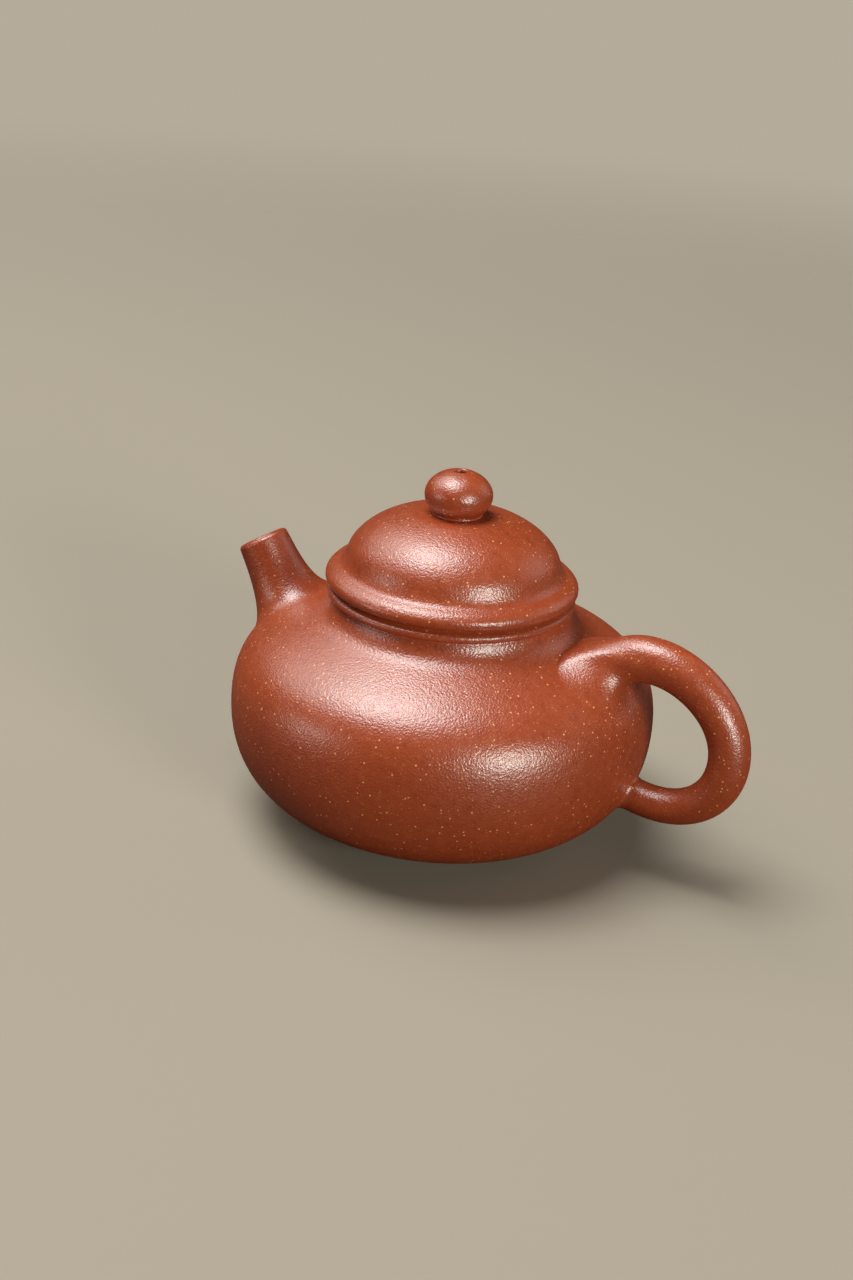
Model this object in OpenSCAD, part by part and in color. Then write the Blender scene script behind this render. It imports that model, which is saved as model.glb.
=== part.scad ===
// Small round clay teapot with a lift-off domed lid.
// The foot stands on z = 0, +X points to the handle and -X to the spout.

/* [Belly] */
// Radius of the belly at its widest line
belly_r = 38.8; // [34:0.1:44]
// Drop from the widest line to the bottom of the lower curve
lower_h = 23.6; // [20:0.1:28]
// Fullness of the lower curve, where 2 is an ellipse
lower_round = 2.7; // [2:0.05:3.2]
// Rise from the widest line to the top of the upper curve
upper_h = 19.4; // [17:0.1:22]
// Fullness of the upper curve, where 2 is an ellipse
upper_round = 2.2; // [2:0.05:2.6]
// Thickness of the belly, shoulder and base
wall = 2.4; // [1.8:0.1:3]
// Radius of the disc that closes the bottom
base_r = 17; // [15:0.1:19]
// Radius of the disc that closes the top
shoulder_r = 27; // [26:0.1:29]

/* [Foot] */
// Height of the foot ring
foot_h = 1.4; // [0.8:0.1:3]
// Radius of the foot ring where it stands
foot_r = 16; // [14:0.1:16.5]
// Width of the foot ring
foot_w = 2.6; // [1.6:0.1:4]

/* [Neck and mouth] */
// Outside radius of the neck
neck_r = 21.8; // [20.6:0.1:22.6]
// Radius of the mouth's bore
mouth_r = 18.8; // [17.5:0.1:19.4]
// Radius at which the neck's curve leaves the shoulder
neck_root_r = 23.2; // [22.8:0.1:24.6]
// Height of the plain part of the neck under the bead
neck_h = 1.7; // [0.6:0.1:3]
// Height of the bead round the mouth
bead_h = 2; // [1.4:0.1:3]
// How far the bead stands out from the neck
bead_out = 0.6; // [0.3:0.05:1]

/* [Lid] */
// Radius of the lid's dome
dome_r = 19.9; // [19.4:0.1:20.6]
// Height of the dome above the seat, with its top uncut
dome_h = 14; // [11:0.1:18]
// Height of the dome's widest line above the seat
dome_foot = 1.8; // [1:0.1:2.4]
// Fullness of the dome, where 2 is an ellipse
dome_round = 2.2; // [2:0.05:2.6]
// Thickness of the dome
dome_wall = 2.2; // [1.6:0.1:3]
// Outside radius of the lid's rolled rim
roll_r = 22.7; // [22.3:0.1:23.4]
// Height of the rolled rim
roll_h = 3.9; // [3.4:0.1:5]
// Height of the rim's widest line above the seat
roll_low = 1; // [0.5:0.1:1.2]
// How far the rim's lower edge is tucked in
roll_tuck = 0.6; // [0.2:0.1:1]
// Slope of the rim's top
roll_slope = 31; // [20:1:34]
// How far the rim's upper edge is rounded
roll_round = 1.3; // [0.4:0.1:1.3]
// How far the groove behind the rim stands out beyond the dome
groove_out = 0.1; // [0.05:0.05:0.3]
// Width of the groove up to the rim's crest
groove_w = 0.4; // [0.3:0.05:0.6]
// Depth of the groove under that crest
groove_d = 0.35; // [0.2:0.05:0.6]
// Height above the rim at which the groove's curve meets the dome
groove_rise = 1.2; // [0.3:0.1:2]
// Depth to which the lid's flange reaches into the mouth
flange_h = 6.5; // [3:0.1:9]
// Thickness of the flange
flange_w = 2.2; // [1.4:0.1:2.8]
// Play between the flange and the mouth, on the radius
flange_play = 0.3; // [0.2:0.05:0.6]

/* [Knob] */
// Radius of the knob
knob_r = 6.05; // [5:0.05:8]
// Half of the knob's height before its foot is cut
knob_half_h = 4.85; // [4:0.05:6.5]
// Radius of the knob's foot on the lid
knob_foot_r = 5; // [3.6:0.1:5.2]
// Height of that foot
knob_foot_h = 0.15; // [0.1:0.05:0.8]
// How far the knob is drawn in above its foot
knob_waist = 0.1; // [0.05:0.05:0.5]
// Radius of the steam hole through the knob and lid
steam_r = 1.1; // [0.8:0.05:1.6]
// Depth of the dimple round the steam hole
dimple_d = 0.35; // [0.1:0.05:0.8]

/* [Spout] */
// How far the mouth's centre stands out beyond the belly
spout_out = 1.1; // [-1.8:0.1:7]
// Height of the mouth's centre above the seat of the lid
spout_rise = 0.1; // [-4:0.1:4]
// Lean of the spout from the level
spout_lean = 59; // [50:1:66]
// Radius of the spout at its mouth
spout_r = 4.72; // [4:0.02:6]
// Thickness of the spout at its mouth
spout_wall = 1.5; // [1:0.1:2]
// Growth of the spout's radius for each millimetre towards its root
spout_taper = 0.07; // [0:0.01:0.15]
// Width of the curve that blends the spout's upper side into the belly
spout_root_w = 3.8; // [1:0.1:4.4]
// Width of that curve on the spout's lower side
spout_under_w = 1.4; // [0.4:0.1:2.4]
// Length of that curve along the spout
spout_root_l = 8; // [2:0.1:8.4]

/* [Strainer] */
// Radius of the hole in the belly behind the spout
strainer_r = 4.6; // [4:0.1:5.2]
// Thickness of the strainer
strainer_wall = 1; // [0.7:0.05:1.4]
// Diameter of each hole in the strainer
strainer_hole_d = 1.2; // [0.8:0.05:1.3]
// Number of rings of holes round the middle one
strainer_rings = 2; // [1:1:2]

/* [Handle] */
// How far the centre line's outermost point stands out beyond the belly
handle_out = 15.9; // [12:0.1:21]
// Rise of that point above the belly's widest line
handle_rise = 1.7; // [-2:0.1:6]
// Rise of the upper root's centre above the belly's widest line
handle_top_rise = 12.5; // [9:0.1:13]
// Drop of the lower root's centre below the belly's widest line
handle_low_drop = 9; // [6:0.1:13]
// Radius of the handle's upper arm
handle_top_r = 4.22; // [3:0.02:5]
// Radius of the handle's lower arm
handle_low_r = 3.05; // [2.4:0.05:4]
// Width of the curve that blends the upper arm into the shoulder
handle_top_root_w = 3.2; // [1:0.1:4]
// Length of that curve along the arm
handle_top_root_l = 5; // [2:0.1:8]
// Width of the curve that blends the lower arm into the belly
handle_low_root_w = 0.9; // [0.2:0.1:2]
// Length of that curve along the arm
handle_low_root_l = 2; // [1:0.1:4]

// Angle from the level at which the upper arm leaves the shoulder
handle_top_lean = 57; // [40:1:70]
// How far the upper arm holds that angle
handle_top_pull = 11.7; // [8:0.1:14]
// Angle from the level at which the lower arm leaves the belly
handle_low_lean = -15; // [-20:1:10]
// How far the lower arm holds that angle
handle_low_pull = 11; // [8:0.1:14]
// How far the handle's outermost part holds upright above its middle
handle_out_top_pull = 12.5; // [8:0.1:16]
// How far it holds upright below its middle
handle_out_low_pull = 7.5; // [5:0.1:11]

/* [Hidden] */

clay = [0.56, 0.24, 0.15];
clay_pale = [0.66, 0.31, 0.19];
clay_dark = [0.42, 0.17, 0.11];

// Thickness of slip between a luted root and the pot
slip = 0.02;
// Steps round a quarter of a curve, and facets round a full turn
curve_steps = 16;
turn_steps = 128;

// Heights from the foot up
belly_z = foot_h + oval_rise(base_r, belly_r, lower_h, lower_round);
base_top = belly_z - oval_rise(base_r, belly_r - wall, lower_h - wall, lower_round);
shoulder_top = belly_z + oval_rise(neck_root_r, belly_r, upper_h, upper_round);
neck_slope = oval_slope(neck_root_r, belly_r, upper_h, upper_round);
neck_cove = (neck_root_r - neck_r) / (1 - sin(neck_slope));
neck_cove_top = shoulder_top + neck_cove * cos(neck_slope);
bead_z = neck_cove_top + neck_h;
seat_z = bead_z + bead_h;
flange_r = mouth_r - flange_play;
hollow_r = flange_r - flange_w;
dome_z = seat_z + dome_foot;
dome_rise = dome_h - dome_foot;
knob_seat_z = dome_z + oval_rise(knob_foot_r, dome_r, dome_rise, dome_round);
knob_waist_r = knob_foot_r - knob_waist;
knob_z = knob_seat_z + knob_foot_h + knob_half_h * sqrt(1 - pow(knob_waist_r / knob_r, 2));

// Height of an oval curve at radius r, and its slope there in degrees
function oval_rise(r, big_r, h, n) = h * pow(1 - pow(r / big_r, n), 1 / n);
function oval_slope(r, big_r, h, n) =
    atan(h / big_r * pow(r / big_r / (oval_rise(r, big_r, h, n) / h), n - 1));

// Points of an oval from its widest line, at height z, up to radius r
// (down where h is negative)
function oval_arc(r, big_r, h, n, z) =
    let (last = acos(pow(r / big_r, n / 2)))
    [for (i = [0 : curve_steps])
        let (a = last * i / curve_steps)
        [big_r * pow(cos(a), 2 / n), z + h * pow(sin(a), 2 / n)]];

// Points of an ellipse about c, from angle a to angle b
function ellipse_arc(c, rx, ry, a, b, steps = curve_steps) =
    [for (i = [0 : steps])
        let (t = a + (b - a) * i / steps)
        [c[0] + rx * cos(t), c[1] + ry * sin(t)]];

// Points that round the corner q between p and s
function rounded_corner(p, q, s, steps = 6) =
    [for (i = [0 : steps])
        let (t = i / steps)
        p * pow(1 - t, 2) + q * 2 * t * (1 - t) + s * pow(t, 2)];

// The direction at angle a from the level
function heading(a) = [cos(a), sin(a)];

function reversed(list) = [for (i = [len(list) - 1 : -1 : 0]) list[i]];

module turned(outline) {
    rotate_extrude($fn = turn_steps) polygon(outline);
}

// ---- Pot -------------------------------------------------------------

module foot_ring() {
    bevel = 0.4;
    color(clay_dark)
    turned([
        [foot_r - foot_w, foot_h],
        [foot_r - foot_w, bevel],
        [foot_r - foot_w + bevel, 0],
        [foot_r - bevel, 0],
        [foot_r, bevel],
        [foot_r + bevel / 2, foot_h]
    ]);
}

module base_disc() {
    color(clay_dark)
    translate([0, 0, foot_h])
        cylinder(r = base_r, h = base_top - foot_h, $fn = turn_steps);
}

belly_outline = concat(
    reversed(oval_arc(base_r, belly_r, -lower_h, lower_round, belly_z)),
    oval_arc(shoulder_r, belly_r, upper_h, upper_round, belly_z));
belly_inside = concat(
    reversed(oval_arc(base_r, belly_r - wall, -(lower_h - wall), lower_round, belly_z)),
    oval_arc(shoulder_r, belly_r - wall, upper_h - wall, upper_round, belly_z));

module belly_wall() {
    color(clay)
    difference() {
        turned(concat(joined_once(belly_outline), reversed(joined_once(belly_inside))));
        strainer_bore();
    }
}

// The lower and upper curves share their widest point, which is kept once
function joined_once(list) =
    [for (i = [0 : len(list) - 1]) if (i != curve_steps) list[i]];

neck_outline = concat(
    [for (i = [0 : curve_steps])
        let (a = (90 - neck_slope) * (1 - i / curve_steps))
        [neck_r + neck_cove * (1 - cos(a)), neck_cove_top - neck_cove * sin(a)]],
    [[neck_r, bead_z]]);

module shoulder_disc() {
    top = [for (p = oval_arc(neck_root_r, belly_r, upper_h, upper_round, belly_z))
            if (p[0] < shoulder_r) p];
    under = [for (p = oval_arc(mouth_r, belly_r - wall, upper_h - wall, upper_round, belly_z))
            if (p[0] < shoulder_r) p];
    rim_z = belly_z + oval_rise(shoulder_r, belly_r, upper_h, upper_round);
    rim_under = belly_z + oval_rise(shoulder_r, belly_r - wall, upper_h - wall, upper_round);
    color(clay)
    difference() {
        turned(concat(
            [[shoulder_r, rim_under], [shoulder_r, rim_z]],
            top,
            [[mouth_r, shoulder_top]],
            reversed(under)));
        strainer_bore();
    }
}

module neck_collar() {
    color(clay_pale)
    turned(concat([[mouth_r, bead_z], [mouth_r, shoulder_top]], neck_outline));
}

module mouth_rim() {
    color(clay)
    turned(concat(
        [[mouth_r, seat_z], [mouth_r, bead_z]],
        ellipse_arc([neck_r, bead_z + bead_h / 2], bead_out, bead_h / 2, -90, 90)));
}

// ---- Pieces that stand on the belly's curve --------------------------

// Less than 1 inside the belly's oval grown by the slip, and 1 on it
function belly_field(p) =
    let (n = p[2] > belly_z ? upper_round : lower_round)
    let (h = (p[2] > belly_z ? upper_h : lower_h) + slip)
    pow(norm([p[0], p[1]]) / (belly_r + slip), n) + pow(abs(p[2] - belly_z) / h, n);

// The direction in which that field grows fastest
function belly_normal(p) =
    [for (i = [0 : 2])
        let (step = [for (k = [0 : 2]) k == i ? slip : 0])
        belly_field(p + step) - belly_field(p - step)];

// Where the function f of one number, above 0 at a and below 0 at b, is 0
function crossing(f, a, b, tries = 24) =
    let (m = (a + b) / 2)
    tries == 0 ? m
    : f(m) > 0 ? crossing(f, m, b, tries - 1)
    : crossing(f, a, m, tries - 1);

// The point where the path f, from a outside to b inside, enters the belly
function belly_entry(f, a, b) =
    f(crossing(function (t) belly_field(f(t)) - 1, a, b));

// Where the path f crosses the plane that touches the belly at its point p
function touch_crossing(f, a, b, p) =
    let (n = belly_normal(p))
    crossing(function (t) (f(t) - p) * n, a, b);

// The point at angle u on a ring of radius r about c, a point of the XZ plane, square to direction a
function ring_point(c, a, r, u) =
    [c[0] - r * cos(u) * sin(a), r * sin(u), c[1] + r * cos(u) * cos(a)];

// A skin over a ring of lines with equally many points
// Each line is a loop, unless the two tips are given that close the skin
module skin(lines, tips = []) {
    m = len(lines);
    n = len(lines[0]);
    last = len(tips) > 0 ? n - 2 : n - 1;
    walls = [for (j = [0 : m - 1]) for (i = [0 : last])
        let (a = j * n + i, b = j * n + (i + 1) % n)
        let (c = (j + 1) % m * n + (i + 1) % n, d = (j + 1) % m * n + i)
        each [[a, c, b], [a, d, c]]];
    fans = [for (j = [0 : len(tips) > 0 ? m - 1 : -1])
        let (a = j * n, b = (j + 1) % m * n)
        each [[m * n, b, a], [m * n + 1, a + n - 1, b + n - 1]]];
    polyhedron(concat([for (line = lines) each line], tips), concat(walls, fans));
}

// ---- Spout -----------------------------------------------------------

spout_reach = belly_r + spout_out;
spout_mouth = [-spout_reach, seat_z + spout_rise];
spout_dir = 180 - spout_lean;
spout_sides = 48;
root_steps = 8;

// The spout's centre at distance s from its mouth
function spout_at(s) = spout_mouth - s * [cos(spout_dir), sin(spout_dir)];
function spout_radius(s) = spout_r + spout_taper * s;
// The point at angle u, distance s and height extra over the spout's surface
function spout_point(s, extra, u) = ring_point(spout_at(s), spout_dir, spout_radius(s) + extra, u);
// The point at which the belly stops a line that runs down the spout at angle u
function spout_foot(extra, u) =
    belly_entry(function (s) spout_point(s, extra, u), 0, spout_reach);

// A loop of points at angle u: the foot on the belly, the root's curve, the wall, lip and channel
function spout_line(u) =
    let (steps = 8, lip_steps = 6, foot_steps = 4)
    let (lip = spout_wall / 2)
    let (root_w = spout_under_w + (spout_root_w - spout_under_w) * (1 - cos(u)) / 2)
    let (foot = spout_foot(root_w, u))
    let (corner = touch_crossing(function (s) spout_point(s, 0, u), 0, spout_reach, foot))
    let (root_s = corner - spout_root_l)
    let (channel_end = spout_foot(-spout_wall, u))
    let (channel_start = spout_point(lip, -spout_wall, u))
    concat(
        [for (i = [1 : foot_steps - 1])
            spout_foot(-spout_wall + (root_w + spout_wall) * i / foot_steps, u)],
        rounded_corner(foot, spout_point(corner, 0, u), spout_point(root_s, 0, u), root_steps),
        [for (i = [1 : steps]) spout_point(root_s + (lip - root_s) * i / steps, 0, u)],
        [for (i = [1 : lip_steps - 1])
            let (a = 180 * i / lip_steps)
            spout_point(lip - lip * sin(a), -lip + lip * cos(a), u)],
        [for (i = [0 : steps]) channel_start + (channel_end - channel_start) * i / steps]);

module spout() {
    color(clay)
    skin([for (j = [0 : spout_sides - 1]) spout_line(360 * j / spout_sides)]);
}

// ---- Strainer --------------------------------------------------------

// Where the spout's axis meets the belly, and the belly's slope there
function spout_axis(s) = [spout_at(s)[0], 0, spout_at(s)[1]];
strainer_at = belly_entry(function (s) spout_axis(s), 0, spout_reach);
strainer_lean = oval_slope(-strainer_at[0], belly_r, upper_h, upper_round);

// Places its children on the spout's hole, with +Z out of the pot
module at_strainer() {
    translate(strainer_at)
        rotate([0, -strainer_lean, 0])
            children();
}

module strainer_bore() {
    at_strainer()
        translate([0, 0, -3 * wall])
            cylinder(r = strainer_r, h = 4 * wall, $fn = 64);
}

module spout_strainer() {
    r = strainer_r - slip;
    inner_r = r - strainer_wall;
    collar = wall / 2;
    color(clay_pale)
    at_strainer()
        translate([0, 0, -wall])
            difference() {
                union() {
                    sphere(r = r, $fn = 64);
                    cylinder(r = r, h = collar, $fn = 64);
                }
                sphere(r = inner_r, $fn = 64);
                cylinder(r = inner_r, h = 2 * r, $fn = 64);
                translate([-r, -r, collar])
                    cube(2 * r);
                strainer_holes(inner_r);
            }
}

// One hole in the middle, and six more on each ring than on the ring before
module strainer_holes(inner_r) {
    // Angle between the rings, seen from the middle of the strainer's sphere
    ring_gap = 28;
    for (k = [0 : strainer_rings])
        for (j = [0 : max(1, 6 * k) - 1])
            rotate([0, 180 - ring_gap * k, 60 / max(1, k) * j])
                translate([0, 0, inner_r - strainer_wall / 2])
                    cylinder(d = strainer_hole_d, h = 2 * strainer_wall, $fn = 24);
}

// ---- Handle ----------------------------------------------------------

handle_sides = 36;

// The point of the belly at height z, in the XZ plane
function belly_side(z) =
    let (n = z > belly_z ? upper_round : lower_round, h = z > belly_z ? upper_h : lower_h)
    [belly_r * pow(1 - pow(abs(z - belly_z) / h, n), 1 / n), z];

// The centre line is two cubic curves that meet at its outermost point
handle_outer = [belly_r + handle_out, belly_z + handle_rise];
handle_top = belly_side(belly_z + handle_top_rise);
handle_low = belly_side(belly_z - handle_low_drop);
handle_upper = [
    handle_top,
    handle_top + handle_top_pull * heading(handle_top_lean),
    handle_outer + [0, handle_out_top_pull],
    handle_outer
];
handle_lower = [
    handle_low,
    handle_low + handle_low_pull * heading(handle_low_lean),
    handle_outer - [0, handle_out_low_pull],
    handle_outer
];

// A point of a cubic curve, its speed there and its direction in degrees
function cubic(p, t) = p[0] * pow(1 - t, 3) + p[1] * 3 * t * pow(1 - t, 2)
    + p[2] * 3 * t * t * (1 - t) + p[3] * pow(t, 3);
function cubic_speed(p, t) = (p[1] - p[0]) * 3 * pow(1 - t, 2) + (p[2] - p[1]) * 6 * t * (1 - t)
    + (p[3] - p[2]) * 3 * t * t;
function cubic_dir(p, t) = let (d = cubic_speed(p, t)) atan2(d[1], d[0]);

// Share of the way from a root's thickness to the outermost point's
function eased(t) = t < 0 ? 0 : t * t * (3 - 2 * t);
handle_mid_r = (handle_top_r + handle_low_r) / 2;
// Share of an arm's length well outside the belly, and the same behind its root
arm_out = 0.7;
arm_in = -0.3;
// The point of an arm at angle u, share t of its length and height extra over its surface
function arm_point(p, root_r, t, extra, u) =
    ring_point(cubic(p, t), cubic_dir(p, t), root_r + (handle_mid_r - root_r) * eased(t) + extra, u);

// The points of one arm at angle u, from its foot on the belly to the outermost point
function arm_line(p, root_r, root_w, root_l, u) =
    let (steps = 22, foot_steps = 5)
    let (foot = belly_entry(function (t) arm_point(p, root_r, t, root_w, u), arm_out, arm_in))
    let (side_at = function (t) arm_point(p, root_r, t, 0, u))
    let (corner = touch_crossing(side_at, arm_out, arm_in, foot))
    let (start = corner + root_l / norm(cubic_speed(p, 0)))
    concat(
        [for (i = [1 : foot_steps - 1])
            let (extra = (root_r + root_w) * i / foot_steps - root_r)
            belly_entry(function (t) arm_point(p, root_r, t, extra, u), arm_out, arm_in)],
        rounded_corner(foot, side_at(corner), side_at(start), root_steps),
        [for (i = [1 : steps]) side_at(start + (1 - start) * i / steps)]);

// Where an arm's centre line meets the belly
function arm_tip(p) =
    belly_entry(function (t) arm_point(p, 0, t, -handle_mid_r * eased(t), 0), arm_out, arm_in);

module handle() {
    color(clay)
    skin(
        [for (j = [0 : handle_sides - 1])
            let (u = 360 * j / handle_sides)
            let (upper = arm_line(handle_upper, handle_top_r, handle_top_root_w, handle_top_root_l, u))
            let (lower = arm_line(handle_lower, handle_low_r, handle_low_root_w, handle_low_root_l, 180 - u))
            concat(upper, [for (i = [len(lower) - 2 : -1 : 0]) lower[i]])],
        tips = [arm_tip(handle_upper), arm_tip(handle_lower)]);
}

// ---- Lid -------------------------------------------------------------

groove_r = dome_r + groove_out;
groove_z = seat_z + roll_h - groove_d;
dome_side_z = seat_z + roll_h + groove_rise;
dome_side_r = dome_r * pow(1 - pow((dome_side_z - dome_z) / dome_rise, dome_round), 1 / dome_round);

module lid_dome() {
    outside = [for (p = oval_arc(knob_foot_r, dome_r, dome_rise, dome_round, dome_z))
        if (p[1] > dome_side_z) p];
    hollow_h = dome_h - dome_wall;
    inside = oval_arc(steam_r, hollow_r, hollow_h, dome_round, seat_z);
    color(clay)
    turned(concat(
        [[groove_r, seat_z]],
        rounded_corner([groove_r, groove_z], [dome_side_r, groove_z], [dome_side_r, dome_side_z]),
        outside,
        [[steam_r, knob_seat_z]],
        reversed(inside)));
}

module lid_rim() {
    groove = [groove_r, groove_z];
    crest = [groove_r + groove_w, seat_z + roll_h];
    edge = [roll_r, crest[1] - (roll_r - crest[0]) * tan(roll_slope)];
    along_top = heading(180 - roll_slope);
    color(clay_pale)
    turned(concat(
        [[groove_r, seat_z]],
        ellipse_arc([roll_r - roll_tuck, seat_z + roll_low], roll_tuck, roll_low, -90, 0),
        rounded_corner(edge - [0, roll_round], edge, edge + roll_round * along_top),
        rounded_corner(crest - groove_w * along_top, crest, groove)));
}

module lid_flange() {
    bevel = 0.4;
    color(clay_dark)
    turned([
        [hollow_r, seat_z],
        [hollow_r, seat_z - flange_h + bevel],
        [hollow_r + bevel, seat_z - flange_h],
        [flange_r - bevel, seat_z - flange_h],
        [flange_r, seat_z - flange_h + bevel],
        [flange_r, seat_z]
    ]);
}

module knob() {
    dimple_r = 2.2 * steam_r;
    // Angles on the knob where its foot ends and where the dimple starts
    low = -acos(knob_waist_r / knob_r);
    high = acos(dimple_r / knob_r);
    ball = ellipse_arc([0, knob_z], knob_r, knob_half_h, low, high, 2 * curve_steps);
    brim = ball[len(ball) - 1];
    color(clay_pale)
    turned(concat(
        [[steam_r, knob_seat_z], [knob_foot_r, knob_seat_z]],
        ball,
        rounded_corner(brim, [(steam_r + dimple_r) / 2, brim[1]], [steam_r, brim[1] - dimple_d])));
}

foot_ring();
base_disc();
belly_wall();
shoulder_disc();
neck_collar();
mouth_rim();
spout();
spout_strainer();
handle();
lid_dome();
lid_rim();
lid_flange();
knob();
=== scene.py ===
"""Dresses a small round clay teapot: turned walls, a flared spout, a looped handle and a domed lid.

Every piece is a surface worked out with numpy from a profile or a path, in metres, in the frame's
own axes: the foot stands on z = 0, the spout points to -X and the handle to +X.
"""
import math

import bpy
import numpy as np
from bpy.props import FloatProperty, FloatVectorProperty, PointerProperty
from mathutils import Matrix, Vector


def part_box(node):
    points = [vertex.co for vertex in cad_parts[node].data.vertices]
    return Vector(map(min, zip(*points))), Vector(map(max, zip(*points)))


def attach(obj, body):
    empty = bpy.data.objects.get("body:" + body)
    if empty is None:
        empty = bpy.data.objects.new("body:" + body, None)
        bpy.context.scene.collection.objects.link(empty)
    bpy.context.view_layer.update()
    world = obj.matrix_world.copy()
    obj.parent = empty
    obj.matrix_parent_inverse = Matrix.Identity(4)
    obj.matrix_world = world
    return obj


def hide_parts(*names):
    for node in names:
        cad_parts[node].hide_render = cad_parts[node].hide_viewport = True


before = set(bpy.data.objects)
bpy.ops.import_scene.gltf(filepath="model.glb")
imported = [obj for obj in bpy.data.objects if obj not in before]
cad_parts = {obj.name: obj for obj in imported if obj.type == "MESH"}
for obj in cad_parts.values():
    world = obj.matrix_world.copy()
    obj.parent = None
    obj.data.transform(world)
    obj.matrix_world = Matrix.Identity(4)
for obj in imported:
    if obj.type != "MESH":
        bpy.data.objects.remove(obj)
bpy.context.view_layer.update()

bl_info = {
    "name": "Clay teapot",
    "version": (1, 0, 0),
    "blender": (4, 5, 0),
    "location": "View3D > Sidebar > Teapot",
    "description": "Turned, swept and fired pieces of a small clay teapot",
    "category": "Object",
}

MM = 0.001

# Angles over the level in the (r, z) plane, in degrees
UP = 90
DOWN = -90
INWARDS = 180

# Distances between the rings of the turned pieces, and the radius of the smallest ring
WALL_STEP = 0.42 * MM
INSIDE_STEP = 0.6 * MM
FLAT_STEP = 1.2 * MM
LID_STEP = 0.22 * MM
KNOB_STEP = 0.2 * MM
BORE_STEP = 0.8 * MM
AXIS_R = 0.05 * MM

# Points round a turned piece, the knob, the spout and the handle
TURNS = 288
KNOB_TURNS = 144
SPOUT_SIDES = 192
HANDLE_SIDES = 128


# ---- Sizes and colours ------------------------------------------------------------------

def low(node):
    """The height of a node's lowest point."""
    return float(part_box(node)[0][2])


def high(node):
    """The height of a node's highest point."""
    return float(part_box(node)[1][2])


def outer(node):
    """The radius of a turned node."""
    return float(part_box(node)[1][0])


def length(default, name, description, soft_max=0.1):
    """A property that holds a length in metres."""
    return FloatProperty(name=name, description=description, default=default, min=0.0,
                         soft_max=soft_max, precision=5, unit="LENGTH")


def share(default, name, description, top=1.0):
    """A property that holds a plain number from 0 to top."""
    return FloatProperty(name=name, description=description, default=default, min=0.0, max=top)


def colour(default, name, description):
    """A property that holds a linear colour."""
    return FloatVectorProperty(name=name, description=description, default=default, size=3,
                               min=0.0, max=1.0, subtype="COLOR")


class TEAPOT_PG_body(bpy.types.PropertyGroup):
    """Sizes of the turned wall, neck, bead and foot"""

    belly_r: length(outer("belly_wall") - 0.01 * MM, "Belly radius",
                    "Radius of the belly at its widest")
    belly_z: length(22.48 * MM, "Belly height", "Height of the belly's widest line")
    wall: length(2.4 * MM, "Wall", "Thickness of the wall", 0.01)
    base_r: length(outer("base_disc"), "Base radius", "Radius where the belly leaves the base")
    base_z: length(low("base_disc"), "Base height", "Height of the base's underside")
    shoulder_r: length(26.6 * MM, "Shoulder radius", "Radius where the neck's curve starts")
    shoulder_z: length(38.5 * MM, "Shoulder height", "Height where the neck's curve starts")
    slope: FloatProperty(name="Shoulder slope", description="Angle of the shoulder to the level there",
                         default=math.radians(25.5), subtype="ANGLE")
    neck_r: length(21.65 * MM, "Neck radius", "Outside radius of the neck")
    cove_z: length(43.3 * MM, "Neck's curve", "Height where the neck's curve ends")
    bead_h: length(2.3 * MM, "Bead height", "Height from the bead's lower edge to the seat", 0.01)
    mouth_r: length(18.8 * MM, "Mouth radius", "Radius of the mouth's bore")
    bead_r: length(outer("mouth_rim"), "Bead radius", "Radius of the bead round the mouth")
    seat_z: length(high("mouth_rim"), "Seat height", "Height at which the lid sits")
    foot_r: length(outer("foot_ring"), "Foot radius", "Outside radius of the foot ring")
    foot_w: length(2.6 * MM, "Foot width", "Width of the foot ring", 0.01)


class TEAPOT_PG_spout(bpy.types.PropertyGroup):
    """Sizes of the spout"""

    mouth_x: length(39.9 * MM, "Reach", "Distance of the mouth's centre from the pot's axis")
    mouth_z: length(46.02 * MM, "Height", "Height of the mouth's centre")
    lean: FloatProperty(name="Lean", description="Angle of the spout over the level",
                        default=math.radians(59.0), subtype="ANGLE")
    mouth_r: length(4.72 * MM, "Mouth radius", "Radius of the spout at its mouth", 0.01)
    wall: length(1.5 * MM, "Wall", "Thickness of the wall at the mouth", 0.01)
    taper: share(0.07, "Taper", "Growth of the radius for each unit of length")
    root_w: length(6.0 * MM, "Upper flare", "Width of the root's flare towards the upper side", 0.01)
    under_w: length(3.4 * MM, "Lower flare", "Width of the root's flare on the lower side", 0.01)
    root_l: length(10.5 * MM, "Flare length", "Length of the flare along the spout", 0.02)
    neck_w: length(3.0 * MM, "Neck flare", "Width of the root's flare where it faces the neck", 0.01)


class TEAPOT_PG_handle(bpy.types.PropertyGroup):
    """Sizes of the handle"""

    reach: length(54.7 * MM, "Reach", "Distance of the outermost centre from the pot's axis")
    mid_z: length(25.7 * MM, "Middle", "Height of the outermost centre")
    top_z: length(36.5 * MM, "Upper root", "Height of the upper root on the shoulder")
    low_z: length(15.0 * MM, "Lower root", "Height of the lower root on the belly")
    top_r: length(4.22 * MM, "Upper radius", "Radius of the upper arm", 0.01)
    low_r: length(3.05 * MM, "Lower radius", "Radius of the lower arm", 0.01)
    top_w: length(3.2 * MM, "Upper flare", "Width of the upper root's flare above and below", 0.01)
    side_w: length(8.4 * MM, "Side flare", "Width of the upper root's flare at its sides", 0.01)
    low_w: length(1.0 * MM, "Lower flare", "Width of the lower root's flare", 0.01)
    top_l: length(6.5 * MM, "Upper flare length", "Length of the upper root's flare", 0.01)
    low_l: length(2.0 * MM, "Lower flare length", "Length of the lower root's flare", 0.01)


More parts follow.
